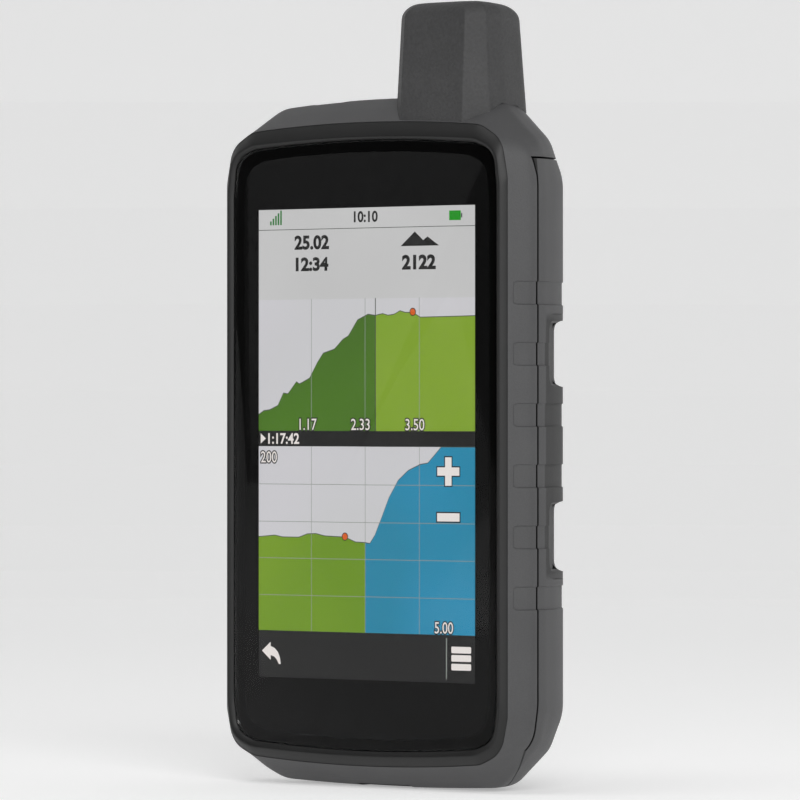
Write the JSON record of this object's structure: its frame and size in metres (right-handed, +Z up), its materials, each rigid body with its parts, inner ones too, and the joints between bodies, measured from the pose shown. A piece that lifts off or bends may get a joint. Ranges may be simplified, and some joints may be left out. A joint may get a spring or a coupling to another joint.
{
  "type": "handheld gps unit",
  "caption": "Rugged handheld satellite navigator: large portrait glass front, stub antenna, and a lift-off battery cover with D-ring latch.",
  "frame": {"origin": "centre of the bottom of the bounding box", "axes": "+Z is up the screen, +X to the reader's right, +Y away from the reader, out of the battery cover"},
  "size_m": [0.0922, 0.0332, 0.181],
  "materials": {
    "cover_glass": "polished toughened glass with a black printed border",
    "sensor_film": "clear film",
    "display": "lit colour display",
    "backlight": "white moulded light guide tray",
    "black_foam": "closed-cell foam",
    "bezel_plastic": "fine-textured black moulding",
    "housing_grey": "fine spark-textured dark grey moulding",
    "antenna_plastic": "coarse-textured dark grey moulding",
    "ceramic_former": "smooth former",
    "copper": "bare copper strip",
    "circuit_board": "solder mask",
    "black_rubber": "matt rubber",
    "cable_grey": "extruded jacket",
    "frame_metal": "die-cast, satin",
    "tinned_steel": "tinned sheet",
    "chip_black": "moulded package",
    "screw_steel": "turned steel",
    "flex_amber": "polyimide film",
    "gold_contact": "gold-plated",
    "white_insulator": "smooth",
    "inner_plastic": "fine-textured black moulding",
    "battery_wrap": "moulded pack case",
    "seal_silicone": "silicone rubber",
    "latch_metal": "black-coated zinc",
    "spring_steel": "spring wire"
  },
  "bodies": {
    "unit": {"touch_glass": "cover_glass", "touch_sensor": "sensor_film", "display_panel": "display", "display_backlight": "backlight", "glass_gasket": "black_foam", "bezel": "bezel_plastic", "front_housing": "housing_grey", "antenna_cover": "antenna_plastic", "antenna_core": "ceramic_former", "antenna_windings": "copper", "antenna_board": "circuit_board", "antenna_seal": "black_rubber", "antenna_coax": "cable_grey", "midframe": "frame_metal", "main_board": "circuit_board", "shield_cans": "tinned_steel", "board_chips": "chip_black", "board_screws": "screw_steel", "display_flex": "flex_amber", "power_button_seal": "black_rubber", "power_switch": "chip_black", "usb_board": "circuit_board", "usb_port": "tinned_steel", "usb_cap_anchor": "black_rubber", "mcx_jack": "gold_contact", "mcx_insulator": "white_insulator", "mcx_contact": "gold_contact", "mcx_coax": "cable_grey", "mcx_cap_anchor": "black_rubber", "sd_card_slot": "tinned_steel", "micro_sd_card": "chip_black", "pressure_vent": "white_insulator", "piezo_buzzer": "gold_contact", "battery_contact_block": "inner_plastic", "battery_contact_pins": "gold_contact", "battery_pack": "battery_wrap", "battery_terminals": "gold_contact", "rear_housing": "inner_plastic", "housing_seal": "seal_silicone", "case_screws": "screw_steel", "battery_cover_seal": "seal_silicone", "latch_spring": "spring_steel"},
    "cover": {"battery_cover": "housing_grey", "battery_pads": "black_foam"},
    "latch": {"latch_shaft": "latch_metal", "latch_cam": "latch_metal", "latch_o_ring": "black_rubber", "latch_clip": "spring_steel", "latch_screw": "screw_steel"},
    "ring": {"d_ring": "latch_metal"},
    "button": {"power_button": "black_rubber"},
    "usb_flap": {"usb_cap": "black_rubber"},
    "mcx_flap": {"mcx_cap": "black_rubber"}
  },
  "joints": [
    {"name": "cover_lift", "type": "slide", "parent": "unit", "child": "cover", "axis": [0, 1, 0], "range_m": [0, 0.03], "deforming": ["latch_spring"]},
    {"name": "latch_turn", "type": "hinge", "parent": "cover", "child": "latch", "pos_m": [0, 0.0136, 0.02], "axis": [0, 1, 0], "range_deg": [0, 90]},
    {"name": "ring_fold", "type": "hinge", "parent": "latch", "child": "ring", "pos_m": [0, 0.0157, 0.02], "axis": [1, 0, 0], "range_deg": [0, 95]},
    {"name": "button_press", "type": "slide", "parent": "unit", "child": "button", "axis": [0, 0, -1], "range_m": [0, 0.0005], "stiffness_N_per_m": 900, "springref_m": -0.001},
    {"name": "usb_cap_swing", "type": "hinge", "parent": "unit", "child": "usb_flap", "pos_m": [-0.0069, -0.0052, 0.0004], "axis": [0, 1, 0], "range_deg": [0, 110]},
    {"name": "mcx_cap_swing", "type": "hinge", "parent": "unit", "child": "mcx_flap", "pos_m": [-0.0183, 0.01645, 0.1487], "axis": [0, 0, 1], "range_deg": [0, 110]}
  ]
}
